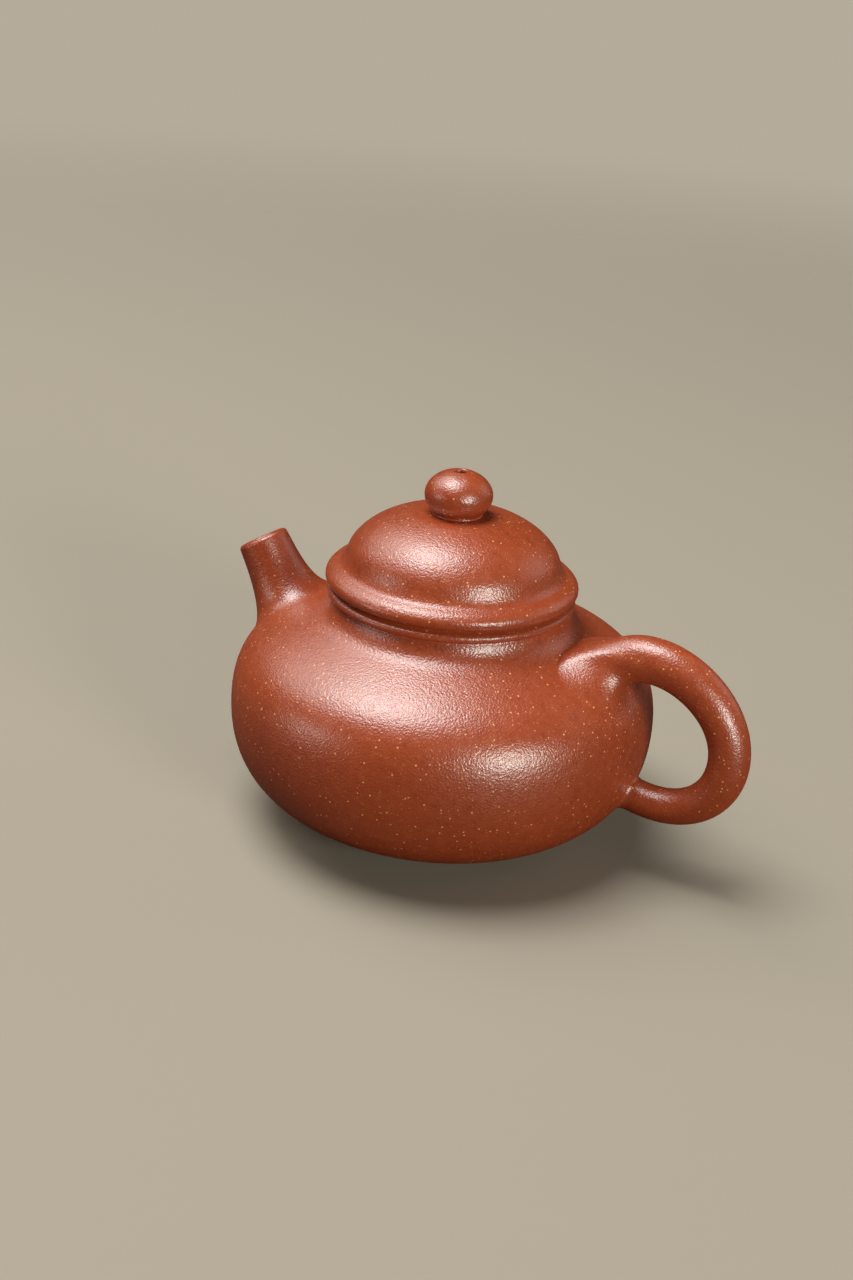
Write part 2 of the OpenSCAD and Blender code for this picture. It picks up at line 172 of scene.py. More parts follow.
class TEAPOT_PG_lid(bpy.types.PropertyGroup):
    """Sizes of the lid and knob"""

    dome_r: length(19.9 * MM, "Dome radius", "Radius of the dome")
    dome_foot: length(1.8 * MM, "Dome foot", "Height of the dome's widest line over the seat", 0.01)
    dome_h: length(14.0 * MM, "Dome height", "Height of the uncut dome over the seat")
    dome_round: share(2.2, "Dome fullness", "Fullness of the dome, where 2 is an ellipse", 4.0)
    dome_wall: length(2.2 * MM, "Dome wall", "Thickness of the dome", 0.01)
    rim_r: length(outer("lid_rim"), "Rim radius", "Outside radius of the rolled rim")
    rim_low: length(0.95 * MM, "Rim belly", "Height of the rim's widest line over the seat", 0.01)
    rim_tuck: length(0.7 * MM, "Rim tuck", "How far the rim's lower edge is tucked in", 0.01)
    crest_r: length(20.55 * MM, "Crest radius", "Radius where the rim turns up into the dome's sweep")
    sweep_z: length(5.4 * MM, "Sweep height", "Height over the dome's foot where the sweep ends", 0.02)
    flange_r: length(outer("lid_flange"), "Flange radius", "Outside radius of the flange")
    flange_z: length(low("lid_flange"), "Flange bottom", "Height of the flange's lower edge")
    hollow_r: length(16.3 * MM, "Hollow radius", "Radius of the hollow inside the flange")
    knob_r: length(outer("knob"), "Knob radius", "Radius of the knob", 0.02)
    knob_half_h: length(4.47 * MM, "Knob half height", "Half of the knob's uncut height", 0.02)
    knob_foot_r: length(4.5 * MM, "Knob foot", "Radius of the ring under the knob", 0.02)
    knob_foot_h: length(0.5 * MM, "Knob foot height", "Height of the ring under the knob", 0.01)
    knob_z: length(low("knob") - 0.55 * MM, "Knob seat", "Height at which the knob stands on the dome")
    press_r: length(8.5 * MM, "Pressed radius", "Radius inside which the dome's top is flattened", 0.02)
    steam_r: length(1.1 * MM, "Steam hole", "Radius of the steam hole", 0.01)


class TEAPOT_PG_clay(bpy.types.PropertyGroup):
    """Colours and grain of the fired clay"""

    base: colour((0.360, 0.057, 0.014), "Clay", "Colour of the clay")
    bright: colour((0.450, 0.090, 0.023), "Bright clay", "Colour where the clay is brighter")
    deep: colour((0.245, 0.035, 0.010), "Deep clay", "Colour where the clay is deeper")
    grain: colour((0.86, 0.38, 0.15), "Sand", "Colour of the sand grains")
    iron: colour((0.05, 0.014, 0.010), "Iron", "Colour of the dark iron grains")
    peel: length(0.37 * MM, "Grain size", "Size of the surface's fine waves", 0.01)


# ---- Profiles and paths -----------------------------------------------------------------

def cubic(points, t):
    """A cubic curve: its four points are weighted by the Bernstein shares of t."""
    p = np.asarray(points, float)
    t = np.asarray(t, float)[..., None]
    s = 1 - t
    return p[0] * s ** 3 + 3 * p[1] * s * s * t + 3 * p[2] * s * t * t + p[3] * t ** 3


def cubic_speed(points, t):
    """The speed along a cubic curve: its derivative by t."""
    p = np.asarray(points, float)
    t = np.asarray(t, float)[..., None]
    s = 1 - t
    return 3 * ((p[1] - p[0]) * s * s + 2 * (p[2] - p[1]) * s * t + (p[3] - p[2]) * t * t)


def unit(angle):
    """The direction at an angle over the level, in degrees, in the (r, z) plane."""
    return np.array([math.cos(math.radians(angle)), math.sin(math.radians(angle))])


def heading(start, end):
    """The angle over the level, in degrees, of the line from start to end in the (r, z) plane."""
    return math.degrees(math.atan2(end[1] - start[1], end[0] - start[0]))


def bend(start, leaving, end, arriving):
    """The four points of a cubic curve from start to end in the (r, z) plane. leaving and arriving
    are its direction there, as an angle over the level in degrees, and that direction's pull in mm."""
    return np.array([start, start + leaving[1] * MM * unit(leaving[0]),
                     end - arriving[1] * MM * unit(arriving[0]), end])


def parabola(start, corner, end, count):
    """Points of the parabola that leaves start towards the corner and reaches end from it."""
    t = np.linspace(0, 1, count)[:, None]
    return start * (1 - t) ** 2 + 2 * corner * t * (1 - t) + end * t ** 2


def arc(centre, radii, start, stop, count):
    """Points of an ellipse about a centre, from one angle in degrees to another."""
    a = np.radians(np.linspace(start, stop, count))
    return np.stack([centre[0] + radii[0] * np.cos(a), centre[1] + radii[1] * np.sin(a)], axis=1)


def oval(radius, height, fullness, z, inner_r, count=400):
    """Points of an oval, r to the fullness plus z to the fullness = 1, from its widest line at
    height z up to the radius inner_r."""
    last = math.acos((inner_r / radius) ** (fullness / 2))
    a = np.linspace(0, last, count)
    return np.stack([radius * np.cos(a) ** (2 / fullness), z + height * np.sin(a) ** (2 / fullness)],
                    axis=1)


def rounded(profile, corner, radius):
    """The profile with its point number corner cut back by radius on both sides and rounded by a
    parabola between the cuts."""
    before, point, after = profile[corner - 1], profile[corner], profile[corner + 1]
    start = point + (before - point) * radius / np.linalg.norm(before - point)
    end = point + (after - point) * radius / np.linalg.norm(after - point)
    return np.concatenate([profile[:corner], parabola(start, point, end, 8), profile[corner + 1:]])


def even(points, step):
    """The same line with its points spread evenly along it, about a step apart. A point that
    falls on the one before it is left out first."""
    apart = np.linalg.norm(np.diff(points, axis=0), axis=1) > 1e-6 * MM
    points = points[np.concatenate([[True], apart])]
    along = np.concatenate([[0], np.cumsum(np.linalg.norm(np.diff(points, axis=0), axis=1))])
    count = max(2, int(round(along[-1] / step)) + 1)
    where = np.linspace(0, along[-1], count)
    return np.stack([np.interp(where, along, points[:, k]) for k in range(points.shape[1])], axis=1)


# ---- Meshes -----------------------------------------------------------------------------

def grid_faces(rows, columns, loop_rows, loop_columns):
    """Four corner numbers for each cell of a grid of points, numbered row by row."""
    i = np.arange(rows if loop_rows else rows - 1)[:, None]
    j = np.arange(columns if loop_columns else columns - 1)[None, :]
    i2 = (i + 1) % rows
    j2 = (j + 1) % columns
    corners = [i * columns + j, i * columns + j2, i2 * columns + j2, i2 * columns + j]
    return np.stack([c.ravel() for c in np.broadcast_arrays(*corners)], axis=1)


def dots(a, b):
    """The scalar product of each row of a with the same row of b."""
    return np.einsum("ij,ij->i", a, b)


def inside_out(points, faces):
    """Whether the faces point inwards: the volume under them, as the sum over the triangles of
    each face of its corners' triple product, is then below nought."""
    a, b, c, d = (points[faces[:, k]] for k in range(4))
    volume = dots(a, np.cross(b, c)) + dots(a, np.cross(c, d))
    return volume.sum() < 0


def add_piece(name, points, faces, body, nodes, slot):
    """Makes a smooth piece from its points and four-cornered faces, and gives it to the frame."""
    if inside_out(points, faces):
        faces = faces[:, ::-1]
    mesh = bpy.data.meshes.new(name)
    mesh.vertices.add(len(points))
    mesh.vertices.foreach_set("co", np.ascontiguousarray(points, dtype=np.float32).ravel())
    mesh.loops.add(faces.size)
    mesh.loops.foreach_set("vertex_index", np.ascontiguousarray(faces, dtype=np.int32).ravel())
    mesh.polygons.add(len(faces))
    mesh.polygons.foreach_set("loop_start", np.arange(0, faces.size, 4, dtype=np.int32))
    mesh.polygons.foreach_set("use_smooth", np.ones(len(faces), dtype=bool))
    mesh.update(calc_edges=True)
    mesh.validate()
    piece = bpy.data.objects.new(name, mesh)
    bpy.context.scene.collection.objects.link(piece)
    declare(piece, body, nodes, slot)


def declare(piece, body, nodes, slot):
    """Tells the frame what a piece rides on, which nodes it stands for and its finish."""
    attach(piece, body)
    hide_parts(*nodes)
    dress(piece, slot)


def dress(piece, slot):
    """Gives a piece the clay of a slot as its only material."""
    piece.data.materials.clear()
    piece.data.materials.append(clay_material(slot))


def turned(profile, turns=TURNS):
    """Points and faces of a closed profile (r, z) turned about Z: x = r cos a, y = r sin a."""
    a = np.linspace(0, 2 * np.pi, turns, endpoint=False)
    r, z = profile[:, 0][:, None], profile[:, 1][:, None]
    points = np.stack([r * np.cos(a), r * np.sin(a), np.broadcast_to(z, (len(profile), turns))], axis=2)
    return points.reshape(-1, 3), grid_faces(len(profile), turns, True, True)


def capped(rings, tips):
    """Points and faces of a tube of rings whose first and last ring are each closed by a fan round
    a tip. The corners of a fan's face are the tip and three points in a row on the ring."""
    count, sides = rings.shape[:2]
    first, last = count * sides, count * sides + 1
    rim = (count - 1) * sides
    j = np.arange(0, sides, 2)
    start_fan = np.stack([np.full(len(j), first), (j + 2) % sides, j + 1, j], axis=1)
    end_fan = np.stack([np.full(len(j), last), rim + j, rim + j + 1, rim + (j + 2) % sides], axis=1)
    faces = grid_faces(count, sides, False, True)
    return np.concatenate([rings.reshape(-1, 3), tips]), np.concatenate([faces, start_fan, end_fan])


def turned_closed(profile):
    """As turned, for a profile that starts and ends on the axis, where small fans close it."""
    points, _ = turned(profile[1:-1])
    tips = [[0, 0, profile[0, 1]], [0, 0, profile[-1, 1]]]
    return capped(points.reshape(-1, TURNS, 3), tips)


# ---- Clay -------------------------------------------------------------------------------

class Sock:
    """A shader socket on which sums are written as Python expressions."""

    def __init__(self, tree, socket):
        self.tree = tree
        self.socket = socket

    def __add__(self, other):
        return self.tree.math("ADD", self, other)

    def __sub__(self, other):
        return self.tree.math("SUBTRACT", self, other)

    def __rsub__(self, other):
        return self.tree.math("SUBTRACT", other, self)

    def __mul__(self, other):
        return self.tree.math("MULTIPLY", self, other)

    def ramp(self, start, stop):
        """0 up to start, 1 from stop, and a smooth rise between."""
        return self.tree.node("ShaderNodeMapRange", {"interpolation_type": "SMOOTHSTEP"},
                              {"Value": self, "From Min": start, "From Max": stop})[0]


class Tree:
    """Builds a material's nodes."""

    def __init__(self, name):
        self.material = bpy.data.materials.new(name)
        self.material.use_nodes = True
        self.nodes = self.material.node_tree.nodes
        self.links = self.material.node_tree.links
        self.nodes.clear()

    def node(self, kind, settings=None, values=None):
        """Adds a node, applies its settings, then sets or links its inputs; returns its outputs."""
        new = self.nodes.new(kind)
        for key, value in (settings or {}).items():
            setattr(new, key, value)
        for key, value in (values or {}).items():
            if isinstance(value, Sock):
                self.links.new(value.socket, new.inputs[key])
            else:
                new.inputs[key].default_value = value
        return [Sock(self, output) for output in new.outputs if output.enabled]

    def place(self):
        """The place in the object's own axes, in metres, which is the node's fourth output."""
        return self.node("ShaderNodeTexCoord")[3]

    def math(self, operation, a, b):
        """The outcome of an operation on a and b, each of them a socket or a number."""
        return self.node("ShaderNodeMath", {"operation": operation}, {0: a, 1: b})[0]

    def mix(self, factor, a, b):
        """The colour a where the factor is 0 and b where it is 1."""
        rgba = [value if isinstance(value, Sock) else (*value, 1.0) for value in (a, b)]
        return self.node("ShaderNodeMix", {"data_type": "RGBA"},
                         {"Factor": factor, "A": rgba[0], "B": rgba[1]})[0]


# Roughness of each finish of the clay, and the strength of its fine waves, whose height at
# strength 1 comes next
FINISHES = {"clay": (0.34, 1.0), "clay_bare": (0.52, 1.4)}
WAVE_HEIGHT = 0.088 * MM

# Each kind of grain: its spacing and radius in mm, the share of cells that hold one, and how far
# its colour covers the clay's
GRAINS = {
    "fine_sand": (0.62, 0.12, 0.50, 0.45),
    "sand": (1.15, 0.20, 0.60, 1.0),
    "iron": (2.3, 0.14, 0.16, 0.6),
}


def clay_material(slot):
    """The fired clay of a slot, made once and shared."""
    name = "fired_" + slot
    if name in bpy.data.materials:
        return bpy.data.materials[name]
    clay = bpy.context.scene.teapot_clay
    roughness, wave_strength = FINISHES[slot]
    tree = Tree(name)
    place = tree.place()

    def noise(size, detail, rough):
        """Soft noise from 0 to 1 whose forms have about the given size."""
        return tree.node("ShaderNodeTexNoise", {}, {
            "Vector": place, "Scale": 1 / size, "Detail": detail, "Roughness": rough})[0]

    def grains(spacing, radius, chosen):
        """1 on the grains: the middles of cells, within a radius, in the chosen share of cells."""
        distance, tint = tree.node("ShaderNodeTexVoronoi", {"feature": "F1"}, {
            "Vector": place, "Scale": 1 / spacing})[:2]
        near = 1 - distance.ramp(radius / spacing * 0.6, radius / spacing)
        draw = tree.node("ShaderNodeSeparateColor", {}, {"Color": tint})[0]
        return near * draw.ramp(1 - chosen, 1.02 - chosen)

    # The colour runs from deep over base to bright with a tone of wide clouds and a fine mottle
    cloud = noise(16 * MM, 3.0, 0.5)
    mottle = noise(1.6 * MM, 3.0, 0.6)
    tone = (cloud - 0.5) * 0.35 + (mottle - 0.5) * 0.8 + 0.5
    body = tree.mix(tone.ramp(0.15, 0.5), tuple(clay.deep), tuple(clay.base))
    body = tree.mix(tone.ramp(0.5, 0.9), body, tuple(clay.bright))
    masks = {}
    for kind, tint in (("fine_sand", clay.grain), ("sand", clay.grain), ("iron", clay.iron)):
        spacing, radius, chosen, cover = GRAINS[kind]
        masks[kind] = grains(spacing * MM, radius * MM, chosen)
        body = tree.mix(masks[kind] * cover, body, tuple(tint))

    # Fine waves and a wider ripple roughen the surface, and the sand stands out a little
    waves = noise(clay.peel, 1.5, 0.45)
    ripple = noise(clay.peel * 2.2, 2.0, 0.5)
    height = waves + ripple * 0.35 + masks["sand"] * 0.1
    bump = tree.node("ShaderNodeBump", {}, {
        "Height": height, "Strength": 1.0, "Distance": WAVE_HEIGHT * wave_strength})[0]
    shader = tree.node("ShaderNodeBsdfPrincipled", {}, {
        "Base Color": body, "Roughness": (mottle - 0.5) * 0.16 + roughness, "Normal": bump,
        "IOR": 1.56, "Specular IOR Level": 1.0})[0]
    tree.node("ShaderNodeOutputMaterial", {}, {"Surface": shader})
    return tree.material


# ---- The turned pot ---------------------------------------------------------------------

def belly_outline():
    """The belly from the base up to the shoulder as two cubic curves that share their upright
    tangent and their curvature at the widest line; the upper one ends almost straight."""
    pot = bpy.context.scene.teapot_body
    foot = np.array([pot.base_r, pot.base_z])
    widest = np.array([pot.belly_r, pot.belly_z])
    top = np.array([pot.shoulder_r, pot.shoulder_z])
    lower = bend(foot, (9.25, 18.67), widest, (UP, 8.65))
    upper = bend(widest, (UP, 10.25), top, (INWARDS - math.degrees(pot.slope), 8.27))
    t = np.linspace(0, 1, 600)
    return np.concatenate([cubic(lower, t), cubic(upper, t)[1:]])


def neck_outline():
    """The neck from the shoulder: a wide cove that starts along the shoulder's slope and ends
    almost upright, then a plain stretch up to the bead."""
    pot = bpy.context.scene.teapot_body
    shoulder = np.array([pot.shoulder_r, pot.shoulder_z])
    top = np.array([pot.neck_r, pot.cove_z])
    cove = bend(shoulder, (INWARDS - math.degrees(pot.slope), 2.6), top, (102, 3.2))
    return np.concatenate([cubic(cove, np.linspace(0, 1, 100)),
                           [[pot.neck_r, pot.seat_z - pot.bead_h]]])


def inset(outline, depth):
    """The outline moved inwards by a depth along its normals."""
    along = np.gradient(outline, axis=0)
    along /= np.linalg.norm(along, axis=1)[:, None]
    return outline + depth * np.stack([-along[:, 1], along[:, 0]], axis=1)


class BellySurface:
    """The belly and neck as a surface of turning: a radius for each height."""

    def __init__(self):
        outline = np.concatenate([belly_outline(), neck_outline()[1:]])
        self.z, self.r = outline[:, 1], outline[:, 0]

    def at(self, z):
        """The point (r, z) of the surface at a height z."""
        return np.array([np.interp(z, self.z, self.r), z])

    def outside(self, p):
        """How far points stand outside the belly, along the radius."""
        return np.hypot(p[..., 0], p[..., 1]) - np.interp(p[..., 2], self.z, self.r)

    def normal(self, p):
        """The belly's outward direction: the gradient of outside()."""
        step = 0.05 * MM
        slope = (np.interp(p[..., 2] + step, self.z, self.r)
                 - np.interp(p[..., 2] - step, self.z, self.r)) / (2 * step)
        rho = np.hypot(p[..., 0], p[..., 1])
        n = np.stack([p[..., 0] / rho, p[..., 1] / rho, -slope], axis=-1)
        return n / np.linalg.norm(n, axis=-1)[..., None]


def crossing(f, near, far, count=48):
    """Where each f, above 0 at near and below 0 at far, is 0: the interval is halved count times."""
    near, far = np.array(near, float), np.array(far, float)
    for _ in range(count):
        middle = (near + far) / 2
        above = f(middle) > 0
        near = np.where(above, middle, near)
        far = np.where(above, far, middle)
    return near


# The floor inside is level with this point of the belly's outline, moved inwards
FLOOR_POINT = 80
# The shoulder's underside rises by this much from the lining to the mouth's bore
UNDERSIDE_RISE = 2 * MM


class TEAPOT_OT_pot_wall(bpy.types.Operator):
    """Turn the pot's wall, from the base over the belly and shoulder to the neck, and its lining"""

    bl_idname = "teapot.pot_wall"
    bl_label = "Pot wall"

    def execute(self, context):
        pot = context.scene.teapot_body
        outside = even(np.concatenate([belly_outline(), neck_outline()[1:]]), WALL_STEP)
        lining = even(inset(belly_outline(), pot.wall)[FLOOR_POINT:], INSIDE_STEP)
        floor_z = lining[0, 1]
        base = even(np.array([[AXIS_R, pot.base_z], [pot.base_r, pot.base_z]]), FLAT_STEP)
        floor = even(np.array([lining[0], [AXIS_R, floor_z]]), FLAT_STEP)
        bore = [[pot.mouth_r, pot.seat_z - pot.bead_h], [pot.mouth_r, lining[-1, 1] + UNDERSIDE_RISE]]
        profile = np.concatenate([[[0, pot.base_z]], base[:-1], outside, bore, lining[::-1],
                                  floor[1:], [[0, floor_z]]])
        points, faces = turned_closed(profile)
        add_piece("pot_wall", points, faces, "pot",
                  ("base_disc", "belly_wall", "shoulder_disc", "neck_collar"), "clay")
        return {"FINISHED"}


class TEAPOT_OT_foot(bpy.types.Operator):
    """Turn the foot ring"""

    bl_idname = "teapot.foot"
    bl_label = "Foot ring"

    def execute(self, context):
        pot = context.scene.teapot_body
        inner = pot.foot_r - pot.foot_w
        # The ring reaches a little into the base, and its sides draw in towards the ground
        top_z = pot.base_z + 0.2 * MM
        corners = np.array([[inner, top_z], [inner + 0.1 * MM, 0],
                            [pot.foot_r - 0.2 * MM, 0], [pot.foot_r, top_z]])
        profile = rounded(rounded(corners, 2, 0.5 * MM), 1, 0.5 * MM)
        points, faces = turned(profile)
        add_piece("foot_ring", points, faces, "pot", ("foot_ring",), "clay_bare")
        return {"FINISHED"}


class TEAPOT_OT_mouth_rim(bpy.types.Operator):
    """Turn the bead round the mouth"""

    bl_idname = "teapot.mouth_rim"
    bl_label = "Mouth bead"

    def execute(self, context):
        pot = context.scene.teapot_body
        width = pot.bead_r - pot.neck_r
        low_z = pot.seat_z - pot.bead_h
        bead_end = 58
        bead = arc((pot.neck_r, low_z + width), (width, width), DOWN, bead_end, 24)
        # The bead's back runs straight on from the arc and turns up to the seat's outer edge
        edge = np.array([pot.neck_r - 0.7 * MM, pot.seat_z])
        back = cubic([bead[-1], bead[-1] + 0.5 * MM * unit(bead_end + 90),
                      edge + [0.15 * MM, -0.5 * MM], edge], np.linspace(0, 1, 14))
        seat = [[pot.mouth_r + 0.3 * MM, pot.seat_z], [pot.mouth_r, pot.seat_z - 0.3 * MM]]
        profile = np.concatenate([bead, back[1:], seat, [[pot.mouth_r, low_z]]])
        points, faces = turned(profile)
        add_piece("mouth_rim", points, faces, "pot", ("mouth_rim",), "clay")
        return {"FINISHED"}


# ---- Roots on the belly -----------------------------------------------------------------

# The rings that bury a root in the wall: their depth under the belly's surface and how much
# wider than the flare they are, in mm
BURIED = ((0.9, 1.9), (0.35, 1.3), (0.1, 0.7))
EDGE_DEPTH = 0.01 * MM


def shares(count):
    """A number of evenly spaced shares of a way, from just past its start up to 1, its end."""
    return np.linspace(0, 1, count + 1)[1:]


def buried_rings(belly, meeting, width):
    """The rings of a root under the belly's surface, from the deepest to the flare's edge.
    meeting gives the points where a root's surface, raised by a width, meets the belly. The rings
    grow less where the flare is under 1 mm wide."""
    rings = []
    for depth, extra in BURIED:
        under = meeting(width + extra * MM * np.minimum(1, width / MM))
        rings.append(under - depth * MM * belly.normal(under))
    edge = meeting(width)
    rings.append(edge - EDGE_DEPTH * belly.normal(edge))
    return rings


def flare_rings(foot, corner, root, count, pull=0.37):
    """Rings of a flare from its foot on the belly to its root on the plain surface, along curves of
    degree five. A curve leaves each end along the line to the corner with no curvature there: two
    of its points stand on each of those lines, at pull and twice pull."""
    points = [foot, foot + pull * (corner - foot), foot + 2 * pull * (corner - foot),
              root + 2 * pull * (corner - root), root + pull * (corner - root), root]
    rings = []
    for t in shares(count):
        weights = [math.comb(5, k) * t ** k * (1 - t) ** (5 - k) for k in range(6)]
        rings.append(sum(w * p for w, p in zip(weights, points)))
    return rings


# ---- The spout --------------------------------------------------------------------------

# Every line of the spout is inside the belly at this distance from the mouth
SPOUT_DEPTH = 30 * MM
# How far the channel's end stands inside the belly's surface
CHANNEL_END = 0.3 * MM
# The power that keeps the narrower flare to the lines which face the neck, and the share by which
# the flare is longer on the lower side
NECK_POWER = 10
LOWER_GROWTH = 0.2
# Numbers of rings
SPOUT_FLARE_RINGS = 29
SPOUT_TUBE_RINGS = 19
SPOUT_LIP_RINGS = 15
SPOUT_CHANNEL_RINGS = 16


class TEAPOT_OT_spout(bpy.types.Operator):
    """Sweep the spout, flare its root onto the belly and round its lip"""

    bl_idname = "teapot.spout"
    bl_label = "Spout"

    def execute(self, context):
        spout = context.scene.teapot_spout
        belly = BellySurface()
        u = np.linspace(0, 2 * np.pi, SPOUT_SIDES, endpoint=False)
        flush = np.zeros(SPOUT_SIDES)
        out = np.array([-math.cos(spout.lean), 0, math.sin(spout.lean)])
        across = np.array([-math.sin(spout.lean), 0, -math.cos(spout.lean)])
        mouth = np.array([-spout.mouth_x, 0, spout.mouth_z])
        radial = np.cos(u)[:, None] * across + np.sin(u)[:, None] * np.array([0, 1, 0])

        def point(s, extra):
            """The points at distance s from the mouth and height extra over the spout's surface:
            the axis plus the radial direction times the tapered radius."""
            radius = spout.mouth_r + spout.taper * s + extra
            return mouth - s[:, None] * out + radius[:, None] * radial

        def entry(extra):
            """The distance from the mouth at which the belly stops each line of the spout."""
            return crossing(lambda s: belly.outside(point(s, extra)), flush, flush + SPOUT_DEPTH)

        def meeting(extra):
            """The points where the spout's surface, raised by extra, meets the belly."""
            return point(entry(extra), extra)

        # The share is 0 on the lower side and 1 on the upper side, which faces the neck
        upper_share = (1 - np.cos(u)) / 2
        width = (spout.under_w + (spout.root_w - spout.under_w) * upper_share
                 - (spout.root_w - spout.neck_w) * upper_share ** NECK_POWER)
        foot = meeting(width)
        normal = belly.normal(foot)
        # The corner is where a line of the spout cuts the belly's tangent plane at the foot
        corner_s = crossing(lambda s: dots(point(s, flush) - foot, normal),
                            flush, flush + SPOUT_DEPTH)
        root_s = corner_s - spout.root_l * (1 + LOWER_GROWTH * (1 - upper_share))

        rows = buried_rings(belly, meeting, width)
        rows += flare_rings(foot, point(corner_s, flush), point(root_s, flush), SPOUT_FLARE_RINGS)
        lip = spout.wall / 2
        rows += [point(root_s + (lip - root_s) * t, flush) for t in shares(SPOUT_TUBE_RINGS)]
        for a in np.radians(np.linspace(0, 180, SPOUT_LIP_RINGS + 2)[1:-1]):
            rows.append(point(flush + lip - lip * math.sin(a), flush + lip * math.cos(a) - lip))
        channel = flush - spout.wall
        end_s = entry(channel) + CHANNEL_END
        rows += [point(lip + (end_s - lip) * t, channel)
                 for t in np.linspace(0, 1, SPOUT_CHANNEL_RINGS)]
        points = np.array(rows).reshape(-1, 3)
        faces = grid_faces(len(rows), SPOUT_SIDES, True, True)
        add_piece("spout", points, faces, "pot", ("spout",), "clay")
        return {"FINISHED"}


# ---- The handle -------------------------------------------------------------------------

# Every line of an arm is outside the belly at the first share of its length, inside at the second
ARM_OUTSIDE = 0.7
ARM_INSIDE = -0.35
# The share that the upper flare's sides gain towards its lower half and lose towards its upper
# half, and the share by which that flare is longer at its sides
SIDE_LEAN = 0.3
SIDE_GROWTH = 0.5
# Numbers of rings
ARM_FLARE_RINGS = 25
UPPER_ARM_RINGS = 89
LOWER_ARM_RINGS = 69


class Arm:
    """One arm of the handle: a cubic centre line from the belly to the handle's outermost
    point, and a radius that eases from the root's to the middle's."""

    def __init__(self, belly, line, root_r, mid_r, u):
        self.belly, self.line, self.root_r, self.mid_r, self.u = belly, line, root_r, mid_r, u
        self.flush = np.zeros(len(u))

    def point(self, t, extra):
        """The points at share t of the length and height extra over the surface: the centre
        line plus the direction square to it at angle u times the eased radius."""
        centre, speed = cubic(self.line, t), cubic_speed(self.line, t)
        along = speed / np.linalg.norm(speed, axis=-1)[..., None]
        side = np.stack([-along[..., 1], along[..., 0]], axis=-1)
        held = np.clip(t, 0, 1)
        radius = self.root_r + (self.mid_r - self.root_r) * held * held * (3 - 2 * held) + extra
        planar = centre + side * (radius * np.cos(self.u))[..., None]
        return np.stack([planar[..., 0], radius * np.sin(self.u), planar[..., 1]], axis=-1)

    def cut(self, over):
        """The share of the length at which the function over, on each line, falls below nought."""
        return crossing(over, self.flush + ARM_OUTSIDE, self.flush + ARM_INSIDE)

    def meeting(self, extra):
        """The points where the arm's surface, raised by extra, meets the belly."""
        return self.point(self.cut(lambda t: self.belly.outside(self.point(t, extra))), extra)

    def rows(self, width, root_l, count):
        """Rings from under the belly's surface, over the root's flare, to the outermost point, with
        count of them on the plain arm."""
        width = width + self.flush
        foot = self.meeting(width)
        normal = self.belly.normal(foot)
        corner_t = self.cut(lambda t: dots(self.point(t, self.flush) - foot, normal))
        root_t = corner_t + root_l / np.linalg.norm(cubic_speed(self.line, 0.0))
        root = self.point(root_t, self.flush)
        # The corner slides onto the arm's own tangent, taken over a thousandth of its length, so
        # that the flare leaves the arm smoothly
        back = root - self.point(root_t + 0.001, self.flush)
        tangent = back / np.linalg.norm(back, axis=1)[:, None]
        corner = root + tangent * (dots(foot - root, normal) / dots(tangent, normal))[:, None]
        rings = buried_rings(self.belly, self.meeting, width)
        rings += flare_rings(foot, corner, root, ARM_FLARE_RINGS)
        rings += [self.point(root_t + (1 - root_t) * t, self.flush) for t in shares(count)]
        return np.array(rings)


class TEAPOT_OT_handle(bpy.types.Operator):
    """Sweep the looped handle and flare its two roots onto the belly"""

    bl_idname = "teapot.handle"
    bl_label = "Handle"

    def execute(self, context):
        handle = context.scene.teapot_handle
        belly = BellySurface()
        u = np.linspace(0, 2 * np.pi, HANDLE_SIDES, endpoint=False)
        outermost = np.array([handle.reach, handle.mid_z])
        upper = bend(belly.at(handle.top_z), (57, 11.7), outermost, (DOWN, 12.5))
        lower = bend(belly.at(handle.low_z), (-15, 11), outermost, (UP, 7.5))
        mid_r = (handle.top_r + handle.low_r) / 2
        # The share is 0 above and below the arm and about 1 at its sides
        side_share = np.sin(u) ** 2 * (1 - SIDE_LEAN * np.cos(u))
        top_w = handle.top_w + (handle.side_w - handle.top_w) * side_share
        top_l = handle.top_l * (1 + SIDE_GROWTH * side_share)
        upper_arm = Arm(belly, upper, handle.top_r, mid_r, u)
        lower_arm = Arm(belly, lower, handle.low_r, mid_r, np.pi - u)
        upper_rows = upper_arm.rows(top_w, top_l, UPPER_ARM_RINGS)
        lower_rows = lower_arm.rows(handle.low_w, handle.low_l, LOWER_ARM_RINGS)
        # The two arms share the ring at the outermost point
        rows = np.concatenate([upper_rows, lower_rows[-2::-1]])
        points, faces = capped(rows, [rows[0].mean(axis=0), rows[-1].mean(axis=0)])
        add_piece("handle", points, faces, "pot", ("handle",), "clay")
        return {"FINISHED"}


# ---- The lid ----------------------------------------------------------------------------

